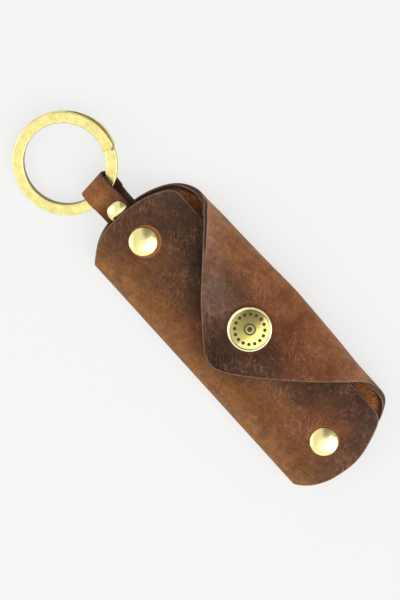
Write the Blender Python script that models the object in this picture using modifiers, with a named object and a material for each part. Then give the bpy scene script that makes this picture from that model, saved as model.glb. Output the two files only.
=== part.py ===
"""Leather key organiser: one wrap of leather folded round two barrel screws and closed by a snap flap.

Frame: the origin is on the middle of the back panel's outer face, which lies flat at z = 0.
+X runs along the case away from the key ring, +Y points to the side that the flap opens to,
and +Z rises through the front panel to the snap cap. Units are metres.
"""
import math

import bmesh
import bpy
from mathutils import Matrix, Vector

MM = 0.001
NAME = "key_organiser"

# Leather wrap: back panel, closed fold, front panel, then the curl and the closing flap
LEATHER = 1.8 * MM
BAY_HEIGHT = 6.0 * MM
END_ARC_RADIUS = 36.0 * MM
END_ARC_CENTRE = 20.2 * MM
FOLD_RADIUS = LEATHER + BAY_HEIGHT / 2
FOLD_Y = -12.6 * MM
FOLD_CORNER_EASE = 2.6 * MM
FOLD_EASE_START = 5.0 * MM
FRONT_EDGE_Y = 19.4 * MM
FRONT_CORNER = 2.6 * MM
CURL_RADIUS = 6.9 * MM
CURL_Y = 18.8 * MM
NEUTRAL_RADIUS = CURL_RADIUS - LEATHER / 2
FLAP_TIP_Y = -10.6 * MM
FLAP_TIP_RADIUS = 5.5 * MM
FLAP_SLOPE_SQUARED = 1.0
SHOULDER_START = 24.0 * MM
SHOULDER_END = 35.0 * MM
FRONT_TOP = 2 * FOLD_RADIUS
FRONT_UNDER = FRONT_TOP - LEATHER
FLAP_TOP = 2 * CURL_RADIUS
FLAP_UNDER = FLAP_TOP - LEATHER

# The curl bends at six lines, so it is made as five strips between the wrap and the flap
STRIPS = 5
FIRST_BEND = 15.0
BEND_STEP = 30.0
STRIP_GAP = 0.3 * MM
HALF_GAP_ANGLE = STRIP_GAP / 2 / NEUTRAL_RADIUS

# Barrel screws through both panels, with the stack that each one holds
POST_X = 44.4 * MM
HEAD_RADIUS = 4.75 * MM
BARREL_RADIUS = 2.5 * MM
BORE_RADIUS = 1.8 * MM
SHANK_RADIUS = 1.6 * MM
HEAD_RECESS = 0.95 * MM
WASHER_RADIUS = 5.0 * MM
WASHER_BORE = 2.6 * MM
PANEL_HOLE = 2.7 * MM
SPACERS = 4
GAP = 0.1 * MM

# Loop strap: a band folded round the ring, riveted, and held by the ring-end barrel screw
STRAP_LEATHER = 1.35 * MM
STRAP_HALF_WIDTH = 4.8 * MM
STRAP_Z = 5.2 * MM
STRAP_ROLL = math.radians(10.0)
LAYER_GAP = 0.12 * MM
LOOP_X = -65.35 * MM
LOOP_OUTER = 4.35 * MM
LOOP_SLOPE = math.radians(50.0)
THROAT_FILLET = 1.0 * MM
TWIST_START = -49.6 * MM
TWIST_END = -53.2 * MM
RIVET_X = -57.0 * MM

# Split key ring: a flat band of two turns, which passes through the loop
RING_OUTER = 17.5 * MM
RING_BAND = 3.7 * MM
RING_COIL = 1.28 * MM
RING_COIL_GAP = 0.14 * MM
RING_CENTRE = (-80.15 * MM, -1.65 * MM)
RING_RAMP_ANGLE = 54.0
RING_RAMP_HALF = 12.0
RING_CHAMFER = 0.3 * MM
RING_STEPS = 100

# Snap fastener at the middle of the flap
SNAP_Y = 7.1 * MM
SNAP_HOLE = 1.5 * MM
SNAP_SPRING_RADIUS = 2.95 * MM
SNAP_SPRING_WIRE = 0.2 * MM

TURN_STEPS = 28

LEATHER_BROWN = (0.30, 0.125, 0.045)
STRAP_BROWN = (0.24, 0.095, 0.04)
BRASS = (0.80, 0.62, 0.30)
PALE_BRASS = (0.78, 0.68, 0.38)
STEEL = (0.62, 0.62, 0.60)


def clear_scene():
    for obj in list(bpy.data.objects):
        bpy.data.objects.remove(obj, do_unlink=True)


def make_collection(name):
    collection = bpy.data.collections.new(name)
    bpy.context.scene.collection.children.link(collection)
    return collection


def make_material(name, colour, roughness, metallic):
    material = bpy.data.materials.new(name)
    material.use_nodes = True
    shader = material.node_tree.nodes["Principled BSDF"]
    shader.inputs["Base Color"].default_value = (*colour, 1.0)
    shader.inputs["Roughness"].default_value = roughness
    shader.inputs["Metallic"].default_value = metallic
    return material


def add_object(name, mesh, colour, roughness=0.5, metallic=0.0):
    obj = bpy.data.objects.new(name, mesh)
    parts.objects.link(obj)
    mesh.materials.append(make_material(name, colour, roughness, metallic))
    return obj


def smoothstep(value, low, high):
    t = min(max((value - low) / (high - low), 0.0), 1.0)
    return t * t * (3 - 2 * t)


def spread(start, end, count):
    """count evenly spaced values from start to end, both included."""
    return [start + (end - start) * i / (count - 1) for i in range(count)]


# ---------------------------------------------------------------- leather outline

def arc_half_length(y):
    """Half the panel's length at distance y from its centre line: the round ends of the case."""
    return END_ARC_CENTRE + math.sqrt(max(END_ARC_RADIUS**2 - y**2, 0.0))


def panel_half_length(y):
    """The round end, drawn in more and more at the corners next to the closed fold."""
    reach = FOLD_RADIUS - FOLD_Y - FOLD_EASE_START
    share = max(-y - FOLD_EASE_START, 0.0) / reach
    return arc_half_length(y) - FOLD_CORNER_EASE * share**2


def flap_half_length(flat):
    """Half the flap's length at a distance measured along the flat leather from the back's middle.

    The sides run at about 45 degrees to a rounded tip, and a shoulder joins them to the round ends.
    """
    tip = CURL_Y + math.pi * NEUTRAL_RADIUS + (CURL_Y - FLAP_TIP_Y)
    to_tip = max(tip - flat, 0.0)
    side = math.sqrt(2 * FLAP_TIP_RADIUS * to_tip + FLAP_SLOPE_SQUARED * to_tip**2)
    weight = smoothstep(flat, SHOULDER_START, SHOULDER_END)
    return (1 - weight) * arc_half_length(flat) + weight * side


def curl_row(angle):
    """One row of the leather's outer face at an angle round the curl, 0 at the back panel."""
    flat = CURL_Y + angle * NEUTRAL_RADIUS
    y = CURL_Y + CURL_RADIUS * math.sin(angle)
    z = CURL_RADIUS - CURL_RADIUS * math.cos(angle)
    return flap_half_length(flat), y, z


def bend_angle(index):
    return math.radians(FIRST_BEND + BEND_STEP * index)


def curl_rows(start, end, count):
    """Evenly spaced rows between two angles round the curl, both included."""
    return [curl_row(angle) for angle in spread(start, end, count)]


def wrap_rows():
    """The wrap's outer face, from the front panel's free edge round to the start of the curl."""
    rows = []
    for angle in spread(math.pi / 2, 0.0, 7):
        y = FRONT_EDGE_Y - FRONT_CORNER * (1 - math.sin(angle))
        cut = FRONT_CORNER * (1 - math.cos(angle))
        rows.append((arc_half_length(y) - cut, y, FRONT_TOP))
    for y in spread(FRONT_EDGE_Y - FRONT_CORNER, FOLD_Y, 15)[1:]:
        rows.append((panel_half_length(y), y, FRONT_TOP))
    for angle in spread(0.0, math.pi, 15)[1:]:
        y = FOLD_Y - FOLD_RADIUS * math.sin(angle)
        rows.append((panel_half_length(y), y, FOLD_RADIUS + FOLD_RADIUS * math.cos(angle)))
    for y in spread(FOLD_Y, CURL_Y, 15)[1:]:
        rows.append((panel_half_length(y), y, 0.0))
    rows += curl_rows(0.0, bend_angle(0) - HALF_GAP_ANGLE, 4)[1:]
    return rows


def flap_rows():
    """The flap's outer face, from the last bend line over the top of the curl to the tip."""
    rows = curl_rows(bend_angle(STRIPS) + HALF_GAP_ANGLE, math.pi, 4)
    reach = CURL_Y - FLAP_TIP_Y
    for share in spread(1.0, 0.04, 22)[1:]:
        to_tip = reach * share**2
        flat = CURL_Y + math.pi * NEUTRAL_RADIUS + reach - to_tip
        rows.append((flap_half_length(flat), FLAP_TIP_Y + to_tip, FLAP_TOP))
    return rows


# ---------------------------------------------------------------- modelling helpers

def bent_sheet(name, rows, thickness, colour, along_x=True, twist=None):
    """A sheet bent along rows of (half width, place across, height), thickened inwards."""
    mesh = bpy.data.meshes.new(name)
    bm = bmesh.new()
    pairs = []
    for half, across, height in rows:
        ends = [(-half, across, height), (half, across, height)]
        if not along_x:
            ends = [(across, half, height), (across, -half, height)]
        pairs.append([bm.verts.new(twist(Vector(end)) if twist else end) for end in ends])
    for (a, b), (c, d) in zip(pairs, pairs[1:]):
        bm.faces.new((a, c, d, b))
    bm.to_mesh(mesh)
    bm.free()
    obj = add_object(name, mesh, colour, roughness=0.55)
    solidify = obj.modifiers.new("Thickness", "SOLIDIFY")
    solidify.thickness = thickness
    solidify.offset = -1.0
    solidify.use_even_offset = True
    solidify.use_rim = True
    return obj


def turned(name, profile, place, colour, roughness=0.3, metallic=1.0, closed=False):
    """A round piece from a profile of (radius, height) pairs in millimetres, top to bottom."""
    mesh = bpy.data.meshes.new(name)
    bm = bmesh.new()
    verts = [bm.verts.new((radius * MM, 0.0, height * MM)) for radius, height in profile]
    for a, b in zip(verts, verts[1:]):
        bm.edges.new((a, b))
    if closed:
        bm.edges.new((verts[-1], verts[0]))
    bm.to_mesh(mesh)
    bm.free()
    obj = add_object(name, mesh, colour, roughness, metallic)
    obj.matrix_world = place
    screw = obj.modifiers.new("Turn", "SCREW")
    screw.axis = "Z"
    screw.angle = 2 * math.pi
    screw.steps = TURN_STEPS
    screw.render_steps = TURN_STEPS
    screw.use_merge_vertices = True
    screw.merge_threshold = 0.00001
    screw.use_smooth_shade = True
    return obj


def cut(obj, cutter_mesh, place):
    """Take a cutter's shape out of a part."""
    cutter = bpy.data.objects.new(f"{obj.name}_cutter", cutter_mesh)
    cutters.objects.link(cutter)
    cutter.matrix_world = place
    cutter.hide_render = True
    cutter.display_type = "WIRE"
    boolean = obj.modifiers.new("Cut", "BOOLEAN")
    boolean.operation = "DIFFERENCE"
    boolean.solver = "EXACT"
    boolean.object = cutter


def drill(obj, radius, low, high, place):
    """Drill a round hole along the local Z axis of place, from low to high."""
    mesh = bpy.data.meshes.new("drill")
    bm = bmesh.new()
    middle = Matrix.Translation((0, 0, (low + high) / 2))
    bmesh.ops.create_cone(
        bm, cap_ends=True, segments=TURN_STEPS, radius1=radius, radius2=radius,
        depth=high - low, matrix=middle)
    bm.to_mesh(mesh)
    bm.free()
    cut(obj, mesh, place)


def at(x, y=0.0, z=0.0):
    return Matrix.Translation((x, y, z))


# ---------------------------------------------------------------- leather

def make_wrap():
    wrap = bent_sheet("leather_wrap", wrap_rows(), LEATHER, LEATHER_BROWN)
    for x in (-POST_X, POST_X):
        drill(wrap, HEAD_RADIUS + 0.15 * MM, -LEATHER, HEAD_RECESS, at(x))
        drill(wrap, PANEL_HOLE, -LEATHER, FRONT_TOP + LEATHER, at(x))
    drill(wrap, SNAP_HOLE, BAY_HEIGHT, FRONT_TOP + LEATHER, at(0, SNAP_Y))


def make_strips():
    """The curl's strips, numbered from the back panel to the flap."""
    for index in range(STRIPS):
        start = bend_angle(index) + HALF_GAP_ANGLE
        end = bend_angle(index + 1) - HALF_GAP_ANGLE
        bent_sheet(f"flap_fold_strip_{index + 1}", curl_rows(start, end, 5), LEATHER, LEATHER_BROWN)


def make_flap():
    flap = bent_sheet("closing_flap", flap_rows(), LEATHER, LEATHER_BROWN)
    drill(flap, SNAP_HOLE, FLAP_UNDER - LEATHER, FLAP_TOP + LEATHER, at(0, SNAP_Y))


# ---------------------------------------------------------------- loop strap

def roll_strap(point):
    """The strap's free end is twisted about its length, so its +Y edge stands higher."""
    roll = STRAP_ROLL * smoothstep(-point.x, -TWIST_START, -TWIST_END)
    axis_point = Vector((0.0, 0.0, STRAP_Z))
    return axis_point + Matrix.Rotation(roll, 3, "X") @ (point - axis_point)


def strap_half_width(x):
    """Full width, with a round end about the barrel screw."""
    beyond = max(x + POST_X, 0.0)
    return math.sqrt(max(STRAP_HALF_WIDTH**2 - beyond**2, (0.2 * STRAP_HALF_WIDTH) ** 2))


def strap_side():
    """Places (x, height over the strap's middle) on the upper outer face, screw end to loop."""
    level = STRAP_LEATHER + LAYER_GAP / 2
    throat = LOOP_X + LOOP_OUTER * math.sin(LOOP_SLOPE)
    throat += (LOOP_OUTER * math.cos(LOOP_SLOPE) - level) / math.tan(LOOP_SLOPE)
    fillet_x = throat + THROAT_FILLET * math.tan(LOOP_SLOPE / 2)
    round_end = [-POST_X + STRAP_HALF_WIDTH * math.cos(a) for a in spread(0.2, math.pi / 2, 9)]
    straight = spread(-POST_X, TWIST_START, 3)[1:] + spread(TWIST_START, TWIST_END, 8)[1:]
    side = [(x, level) for x in round_end + straight]
    for angle in spread(0.0, LOOP_SLOPE, 6):
        x = fillet_x - THROAT_FILLET * math.sin(angle)
        side.append((x, level + THROAT_FILLET * (1 - math.cos(angle))))
    for angle in spread(LOOP_SLOPE, -math.pi / 2, 20):
        side.append((LOOP_X + LOOP_OUTER * math.sin(angle), LOOP_OUTER * math.cos(angle)))
    return side


def make_strap():
    upper = strap_side()
    lower = [(x, -height) for x, height in upper[-2::-1]]
    rows = [(strap_half_width(x), x, STRAP_Z + height) for x, height in upper + lower]
    strap = bent_sheet("loop_strap", rows, STRAP_LEATHER, STRAP_BROWN, False, roll_strap)
    drill(strap, PANEL_HOLE, -LEATHER, FRONT_TOP, at(-POST_X))
    drill(strap, 1.1 * MM, -LOOP_OUTER, LOOP_OUTER, rolled(RIVET_X))


def rolled(x, y=0.0):
    """A place in the plane of the strap's free end, which is rolled about its length."""
    return at(0.0, 0.0, STRAP_Z) @ Matrix.Rotation(STRAP_ROLL, 4, "X") @ at(x, y)


def make_rivet():
    cap = [(0, 2.25), (1.2, 2.21), (2.1, 2.08), (2.9, 1.86), (3.4, 1.64), (3.6, 1.54), (3.5, 1.5),
           (1.0, 1.5), (1.0, 1.75), (0, 1.75)]
    post = [(0, 1.65), (0.9, 1.65), (0.9, -1.5), (3.0, -1.5), (3.2, -1.6), (3.1, -1.85),
            (2.8, -1.95), (0, -1.95)]
    turned("loop_rivet_cap", cap, rolled(RIVET_X), BRASS)
    turned("loop_rivet_post", post, rolled(RIVET_X), BRASS)


# ---------------------------------------------------------------- key ring

def ring_section():
    """The band's cross-section as (outwards, upwards) points, with chamfered edges."""
    half, rise = RING_BAND / 2, RING_COIL / 2
    small = RING_CHAMFER
    return [
        (half, rise - small), (half - small, rise), (small - half, rise), (-half, rise - small),
        (-half, small - rise), (small - half, -rise), (half - small, -rise), (half, small - rise)]


def make_key_ring():
    """Two turns of band: the first in the upper plane, then a ramp down, then the second beneath it."""
    mesh = bpy.data.meshes.new("key_ring")
    bm = bmesh.new()
    middle_radius = RING_OUTER - RING_BAND / 2
    coil_height = (RING_COIL + RING_COIL_GAP) / 2
    start = RING_RAMP_ANGLE + RING_RAMP_HALF
    ramp = RING_RAMP_ANGLE + 360.0
    end = RING_RAMP_ANGLE + 720.0 - RING_RAMP_HALF
    rings = []
    for angle in spread(start, end, RING_STEPS + 1):
        share = smoothstep(angle, ramp - RING_RAMP_HALF, ramp + RING_RAMP_HALF)
        height = coil_height * (1 - 2 * share)
        turn = math.radians(angle)
        ring = []
        for out, up in ring_section():
            radius = middle_radius + out
            ring.append(bm.verts.new((radius * math.cos(turn), radius * math.sin(turn), height + up)))
        rings.append(ring)
    for one, two in zip(rings, rings[1:]):
        for i in range(len(one)):
            j = (i + 1) % len(one)
            bm.faces.new((one[i], two[i], two[j], one[j]))
    bm.faces.new(rings[0])
    bm.faces.new(rings[-1][::-1])
    bmesh.ops.recalc_face_normals(bm, faces=bm.faces)
    bm.to_mesh(mesh)
    bm.free()
    ring = add_object("key_ring", mesh, PALE_BRASS, 0.3, 1.0)
    ring.matrix_world = rolled(*RING_CENTRE)
    mesh.shade_smooth()
    mesh.set_sharp_from_angle(angle=math.radians(30))


# ---------------------------------------------------------------- barrel screws

def make_barrel_screw(prefix, x):
    """A round-headed post from the front, and the slotted screw that closes it from the back."""
    head, barrel = HEAD_RADIUS / MM, BARREL_RADIUS / MM
    bore, shank = BORE_RADIUS / MM, SHANK_RADIUS / MM
    seat = (FRONT_TOP + GAP) / MM
    foot = (HEAD_RECESS + GAP) / MM
    post = [(0, seat + 1.2), (2.6, seat + 1.14), (3.8, seat + 0.95), (4.5, seat + 0.6),
            (head, seat + 0.25), (head - 0.1, seat + 0.05), (head - 0.2, seat), (barrel, seat),
            (barrel, foot), (bore, foot), (bore, seat - 1.5), (0, seat - 1.2)]
    turned(f"{prefix}_post", post, at(x), BRASS, 0.2)
    top = (HEAD_RECESS - GAP) / MM
    tip = seat - 2.6
    screw = [(0, tip), (shank - 0.3, tip), (shank, tip - 0.3), (shank, top), (head - 0.1, top),
             (head, top - 0.1), (head, 0.35), (head - 0.35, 0.05), (0, 0.05)]
    body = turned(f"{prefix}_screw", screw, at(x), BRASS, 0.25)
    mesh = bpy.data.meshes.new("slot")
    bm = bmesh.new()
    size = Matrix.Diagonal((1.0 * MM, 4 * HEAD_RADIUS, 0.9 * MM, 1.0))
    bmesh.ops.create_cube(bm, size=1.0, matrix=size)
    bm.to_mesh(mesh)
    bm.free()
    cut(body, mesh, at(x))


def washer(name, x, low, high):
    """A flat ring round a barrel, between two heights in metres."""
    low, high, outer, inner = (v / MM for v in (low, high, WASHER_RADIUS, WASHER_BORE))
    edge = 0.15
    profile = [(inner, high), (outer - edge, high), (outer, high - edge), (outer, low + edge),
               (outer - edge, low), (inner, low)]
    turned(name, profile, at(x), BRASS, 0.35, closed=True)


def make_stacks():
    """Washers over and under the loop strap, and a stack of spacers at the other end."""
    floor, roof = LEATHER + GAP, FRONT_UNDER - GAP
    layers = STRAP_LEATHER + LAYER_GAP / 2
    washer("ring_end_washer_lower", -POST_X, floor, STRAP_Z - layers - GAP)
    washer("ring_end_washer_upper", -POST_X, STRAP_Z + layers + GAP, roof)
    pitch = (roof - floor + GAP) / SPACERS
    for index in range(SPACERS):
        low = floor + index * pitch
        washer(f"far_end_spacer_{index + 1}", POST_X, low, low + pitch - GAP)


# ---------------------------------------------------------------- snap fastener

def make_snap():
    place = at(0.0, SNAP_Y)
    cap = [(0, 15.3), (4.2, 15.28), (5.7, 15.2), (6.1, 15.28), (6.7, 15.2), (7.3, 14.85),
           (7.6, 14.4), (7.6, 14.1), (7.35, 13.9), (1.1, 13.9), (1.1, 11.85), (0, 11.85)]
    socket = [(1.3, 11.9), (5.2, 11.9), (5.4, 11.75), (5.4, 11.6), (4.4, 11.45), (4.2, 10.65),
              (4.0, 10.45), (2.8, 10.45), (2.75, 10.7), (3.4, 10.75), (3.4, 11.25), (2.75, 11.3),
              (2.75, 11.75), (1.3, 11.75)]
    stud = [(0, 11.4), (1.3, 11.4), (1.75, 11.25), (1.9, 11.0), (1.75, 10.75), (1.65, 10.5),
            (1.65, 10.1), (4.4, 10.1), (4.6, 9.95), (4.6, 9.8), (4.4, 9.7), (1.15, 9.7),
            (1.15, 10.75), (0, 10.75)]
    base = [(0, 10.6), (1.05, 10.6), (1.05, 7.7), (4.6, 7.7), (4.8, 7.55), (4.8, 7.3),
            (4.5, 7.15), (0, 7.15)]
    turned("snap_cap", cap, place, BRASS, 0.3)
    turned("snap_socket", socket, place, BRASS, closed=True)
    turned("snap_stud", stud, place, BRASS)
    turned("snap_stud_base", base, place, BRASS)
    make_snap_spring(place)


def make_snap_spring(place):
    """The open wire ring in the socket's groove that grips the stud."""
    curve = bpy.data.curves.new("snap_spring", "CURVE")
    curve.dimensions = "3D"
    curve.bevel_depth = SNAP_SPRING_WIRE
    curve.bevel_resolution = 2
    curve.use_fill_caps = True
    spline = curve.splines.new("POLY")
    angles = spread(math.radians(15), math.radians(345), 34)
    spline.points.add(len(angles) - 1)
    for point, angle in zip(spline.points, angles):
        x = SNAP_SPRING_RADIUS * math.cos(angle)
        y = SNAP_SPRING_RADIUS * math.sin(angle)
        point.co = (x, y, 11.0 * MM, 1.0)
    obj = bpy.data.objects.new("snap_spring", curve)
    parts.objects.link(obj)
    obj.matrix_world = place
    curve.materials.append(make_material("snap_spring", STEEL, 0.3, 1.0))


clear_scene()
parts = make_collection(NAME)
cutters = make_collection(f"{NAME}_cutters")
make_wrap()
make_strips()
make_flap()
make_strap()
make_rivet()
make_key_ring()
make_barrel_screw("ring_end", -POST_X)
make_barrel_screw("far_end", POST_X)
make_stacks()
make_snap()
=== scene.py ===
import math

import bpy
import numpy as np
from mathutils import Matrix, Vector, kdtree


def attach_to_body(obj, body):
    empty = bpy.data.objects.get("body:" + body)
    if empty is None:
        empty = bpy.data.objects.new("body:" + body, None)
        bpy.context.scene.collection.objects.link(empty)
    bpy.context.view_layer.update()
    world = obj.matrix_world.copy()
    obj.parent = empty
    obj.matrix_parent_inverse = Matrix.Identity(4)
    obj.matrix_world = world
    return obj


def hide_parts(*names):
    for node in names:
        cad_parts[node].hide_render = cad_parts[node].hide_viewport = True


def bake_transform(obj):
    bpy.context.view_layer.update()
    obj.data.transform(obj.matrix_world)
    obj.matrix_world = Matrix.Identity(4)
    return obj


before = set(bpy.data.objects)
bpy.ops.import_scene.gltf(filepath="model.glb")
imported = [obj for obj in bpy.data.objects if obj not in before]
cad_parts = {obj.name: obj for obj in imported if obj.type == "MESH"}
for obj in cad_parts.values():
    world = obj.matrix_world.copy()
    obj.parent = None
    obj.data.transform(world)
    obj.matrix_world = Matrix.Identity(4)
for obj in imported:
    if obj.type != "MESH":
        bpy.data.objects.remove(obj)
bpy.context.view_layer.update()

MM = 0.001

# ---------------------------------------------------------------- sizes, in millimetres

LEATHER = 1.8                                # thickness of the case's leather
FOLD_Y, FOLD_MID = -12.6, 3.9                # the closed fold's axis, and the radius of its middle
CURL_Y, CURL_MID = 18.8, 6.0                 # the curl's axis, and the radius of its middle
FRONT_EDGE_Y, FRONT_CORNER = 19.4, 2.6       # the front panel's free edge, and its corners' radius
FLAP_TIP_Y = -10.6
POST_X = 44.4                                # barrel screws, either side of the middle
SNAP = (-0.35, 7.1)
STRAP_Z, STRAP_ROLL = 5.2, math.radians(10.0)
RIVET_X = -57.0
LOOP_X = -65.35                              # the axis that the ring swings about
RING_CENTRE, RING_SQUASH = (-80.07, -2.15), 0.987
RING_RADIUS, RING_BAND = 17.42, 3.72         # outside radius, and width of the flat band
RING_THICK, RING_GAP = 1.26, 0.14            # thickness of one turn, and the gap between the two

# Distances along the flat leather, from the front panel's free edge to the flap's tip
CURL_TURN = math.pi * CURL_MID
FRONT_END = FOLD_Y - math.pi * FOLD_MID
FRONT_START = FRONT_END - (FRONT_EDGE_Y - FOLD_Y)
CURL_END = CURL_Y + CURL_TURN
FLAP_END = CURL_END + CURL_Y - FLAP_TIP_Y

# The view: the case lies turned in the picture, and the camera leans a little towards the picture's top
TURN, TILT = math.radians(48.21), math.radians(9.0)
RIGHT = Vector((math.cos(TURN), math.sin(TURN), 0))
UP = Vector((-math.sin(TURN), math.cos(TURN), 0))
WORLD_LEVEL, FLOOR_BASE, FLOOR_GLOW = 0.92, 0.2, 0.78


def smooth(value, low, high):
    """0 at low, 1 at high, and a smooth step between them."""
    t = np.clip((np.asarray(value, float) - low) / (high - low), 0.0, 1.0)
    return t * t * (3 - 2 * t)


def front_flat(y):
    """Distance along the flat leather of a place on the front panel."""
    return FRONT_END - (y - FOLD_Y)


def flap_flat(y):
    """Distance along the flat leather of a place on the flap."""
    return CURL_END + CURL_Y - y


def curl_flat(degrees):
    """Distance along the flat leather of a place round the curl."""
    return CURL_Y + math.radians(degrees) * CURL_MID


def fold_flat(degrees):
    """Distance along the flat leather of a place round the closed fold."""
    return FOLD_Y - math.radians(degrees) * FOLD_MID


# ---------------------------------------------------------------- shader nodes

class Nodes:
    """The nodes of one material, or of the world."""

    def __init__(self, owner, shader="Principled BSDF"):
        owner.use_nodes = True
        self.owner = owner
        self.tree = owner.node_tree
        self.shader = self.tree.nodes[shader]

    def put(self, value, socket):
        """Links a socket to the input, or gives the input a constant."""
        if isinstance(value, bpy.types.NodeSocket):
            self.tree.links.new(value, socket)
        else:
            socket.default_value = value

    def add(self, kind, inputs, output=0, **settings):
        node = self.tree.nodes.new("ShaderNode" + kind)
        for key, value in settings.items():
            setattr(node, key, value)
        for key, value in inputs.items():
            self.put(value, node.inputs[key])
        return node.outputs[output]

    def set(self, **inputs):
        """Fills the shader's inputs."""
        for key, value in inputs.items():
            self.put(value, self.shader.inputs[key.replace("_", " ")])

    def math(self, operation, a, b=0.0, clamp=False):
        return self.add("Math", {0: a, 1: b}, operation=operation, use_clamp=clamp)

    def ramp(self, value, low, high, start=0.0, end=1.0):
        """A smooth step from start, where the value is low, to end, where it is high."""
        inputs = {"Value": value, "From Min": low, "From Max": high, "To Min": start, "To Max": end}
        return self.add("MapRange", inputs, interpolation_type="SMOOTHSTEP")

    def noise(self, vector, scale, detail=2.0, roughness=0.5, distortion=0.0):
        inputs = {"Vector": vector, "Scale": scale, "Detail": detail, "Roughness": roughness,
                  "Distortion": distortion}
        return self.add("TexNoise", inputs)

    def mix(self, share, a, b, blend="MIX"):
        node = self.tree.nodes.new("ShaderNodeMix")
        node.data_type = "RGBA"
        node.blend_type = blend
        self.put(share, node.inputs[0])
        self.put(a, node.inputs[6])
        self.put(b, node.inputs[7])
        return node.outputs[2]

    def attribute(self, name, output="Fac"):
        node = self.tree.nodes.new("ShaderNodeAttribute")
        node.attribute_name = name
        return node.outputs[output]

    def stretch(self, vector, turn, scale):
        """The vector turned about Z and then scaled."""
        turned = self.add("Mapping", {"Vector": vector, "Rotation": (0, 0, turn)})
        return self.add("Mapping", {"Vector": turned, "Scale": scale})

    def grey(self, value):
        return self.add("CombineColor", {0: value, 1: value, 2: value})

    def bump(self, height, distance, strength):
        return self.add("Bump", {"Height": height, "Distance": distance, "Strength": strength})


def new_material(name):
    """The nodes of a new material."""
    return Nodes(bpy.data.materials.new(name))


def linear(r, g, b):
    """An sRGB colour of 0 to 255 as linear RGB."""
    c = np.array([r, g, b]) / 255.0
    return np.where(c <= 0.04045, c / 12.92, ((c + 0.055) / 1.055) ** 2.4)


def rgba(r, g, b):
    return (*linear(r, g, b), 1.0)


# ---------------------------------------------------------------- leather colours

# pale where the fold bends: partly the leather's pull-up, partly painted sheen along the fold's grazing turn
PALE = (150, 108, 70)
TAN = (129, 84, 49)
HONEY = (121, 78, 46)
CHESTNUT = (107, 71, 47)
COCOA = (87, 60, 44)
WALNUT = (71, 49, 38)
ESPRESSO = (54, 38, 29)
RUSSET = (119, 73, 49)
OXBLOOD = (103, 62, 42)
# painted sheen: the soft reflection on the flap's left side, as a pinkish grey
PAINTED_SHEEN = (122, 94, 77)
SHADE = (62, 42, 30)
# painted sheen, pinker, where the flap's left side meets the curl
ROSE_SHEEN = (140, 98, 76)

# (x, y, colour) on the panels and the flap, and (x, turn in degrees, colour) on the curl and the fold; most
# are the leather's own stains, some are painted shade and some painted sheen
# the front panel: stains, with painted shade in the darkest spots beside the flap's edges
FRONT_STAINS_AND_SHADE = [
    (-50, 17, (82, 62, 52)), (-42, 17, WALNUT), (-34, 16, SHADE), (-26, 12, ESPRESSO),
    (-51, 9, COCOA), (-42, 9, (80, 56, 43)), (-34, 9, WALNUT), (-27, 8, ESPRESSO),
    (-52, 2, COCOA), (-45, 2, COCOA), (-37, 3, CHESTNUT), (-29, 2, COCOA), (-21, 2, SHADE), (-14, 0, SHADE),
    (-52, -4, (88, 60, 43)), (-44, -5, CHESTNUT), (-36, -4, CHESTNUT), (-28, -4, CHESTNUT),
    (-20, -3, (92, 62, 42)), (-12, -6, (107, 64, 43)), (-4, -9.5, HONEY), (4, -7, (107, 70, 47)),
    (12, -3, (106, 72, 50)), (20, 1, (116, 80, 58)), (20, -5, TAN), (28, 5, (98, 67, 48)), (28, -3, TAN),
    (36, 10, (98, 66, 47)), (36, 3, RUSSET), (37, -4, (124, 81, 54)), (44, 14, (80, 56, 44)),
    (34, 16, WALNUT), (42, 18, WALNUT), (51, 17, (78, 62, 52)), (44, 6, RUSSET), (52, 8, (87, 63, 50)),
    (46, -2, (124, 82, 55)), (53, 0, (108, 76, 55)), (52, -8, (113, 78, 55)),
    (-50, -10, (106, 71, 49)), (-42, -10, HONEY), (-34, -10, TAN), (-26, -10, TAN), (-16, -10, HONEY),
    (-6, -12, HONEY), (6, -11, HONEY), (16, -10, TAN), (26, -10, HONEY), (36, -10, HONEY), (46, -11, HONEY),
    (28, 8, SHADE), (20, 4.5, SHADE), (-50, -13, (124, 84, 54)), (-24, 15, (40, 28, 22)),
]
# the flap: stains, with painted sheen in the pinkish greys on its left side and painted shade in the darkest
# spots right of the snap's cap
FLAP_STAINS_SHADE_AND_SHEEN = [
    (-34, 19, ROSE_SHEEN), (-30, 17, (146, 106, 86)), (-26, 20, (124, 79, 53)), (-18, 20, (126, 81, 55)),
    (-9, 20, RUSSET), (0, 20, (114, 69, 44)), (7, 19, OXBLOOD), (13, 18, (110, 66, 44)),
    (19, 18, (126, 80, 48)),
    (25, 18, (112, 66, 43)), (31, 20, (122, 76, 52)), (-24, 12, (121, 88, 68)), (-20, 15, (118, 76, 55)),
    (-13, 14, (108, 70, 50)), (-13, 11, (94, 66, 49)), (-5, 15, RUSSET), (8, 13, (110, 66, 43)),
    (15, 14, (112, 69, 46)), (20, 13, RUSSET), (26, 15, RUSSET), (-19, 8, PAINTED_SHEEN), (-16, 4, (124, 98, 81)),
    (-12, 7, (110, 83, 65)), (-12, 1, (106, 80, 66)), (11, 8, (94, 60, 42)), (18, 8, OXBLOOD),
    (12, 3, (72, 48, 34)), (16, 4, (92, 61, 42)), (8, 0, (94, 64, 46)), (12, -1, (80, 54, 40)),
    (-7, -2, (84, 55, 40)), (-8, -5, (88, 62, 46)), (0, -4, (74, 50, 37)), (0, -8, ESPRESSO),
    (-3, -7, ESPRESSO),
    (6, -4, (76, 51, 38)), (8, -5, (74, 51, 38)), (9.5, 4.5, (62, 40, 28)), (10, 1.5, (62, 40, 28)),
    (-1, -9.6, (40, 28, 23)), (2.5, -7.5, (44, 31, 25)), (-4, -4.5, (58, 40, 30)), (-9, -1.5, (70, 48, 37)),
]
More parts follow.
